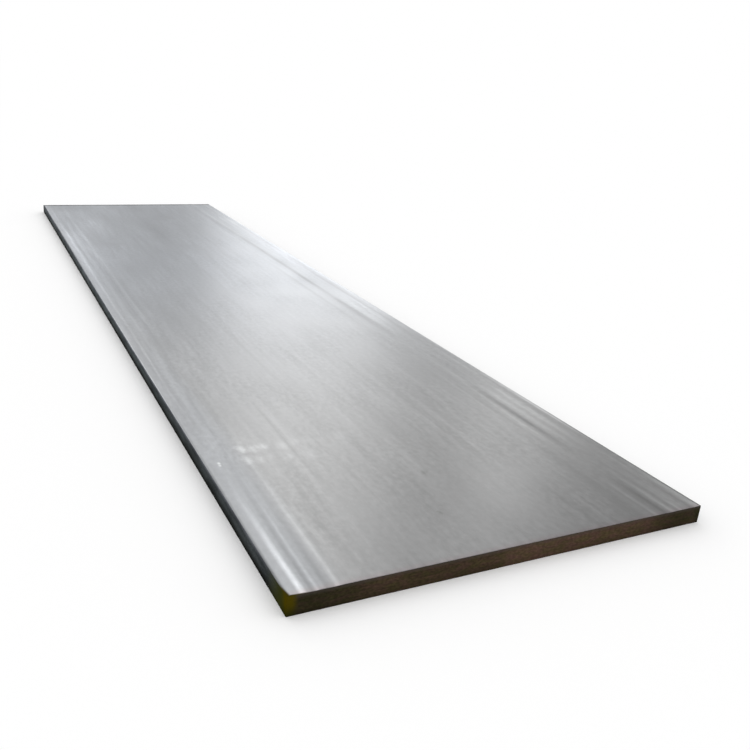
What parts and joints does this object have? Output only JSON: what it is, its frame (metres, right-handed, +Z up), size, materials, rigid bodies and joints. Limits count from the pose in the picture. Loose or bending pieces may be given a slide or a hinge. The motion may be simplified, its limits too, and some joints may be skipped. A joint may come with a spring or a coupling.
{
  "type": "steel plate",
  "caption": "Thick flat rectangular hot-rolled steel plate with bulged mill edges, square flame-cut ends and shallow rolled grooves along its margins; raw stock for cutting or welding.",
  "frame": {"origin": "middle of the underside, on the surface that the plate lies on", "axes": "+X along the length, which is the rolling direction, away from the end nearest the viewer; +Y across the width, to the left seen from that end; +Z up through the thickness"},
  "size_m": [6, 1.4998, 0.065],
  "materials": {
    "rolled_steel": "satin hot-rolled face with long rolling streaks, blue-black mill scale on the long sides and brown-black flame-cut ends"
  },
  "bodies": {
    "root": {"plate": "rolled_steel"}
  },
  "joints": []
}
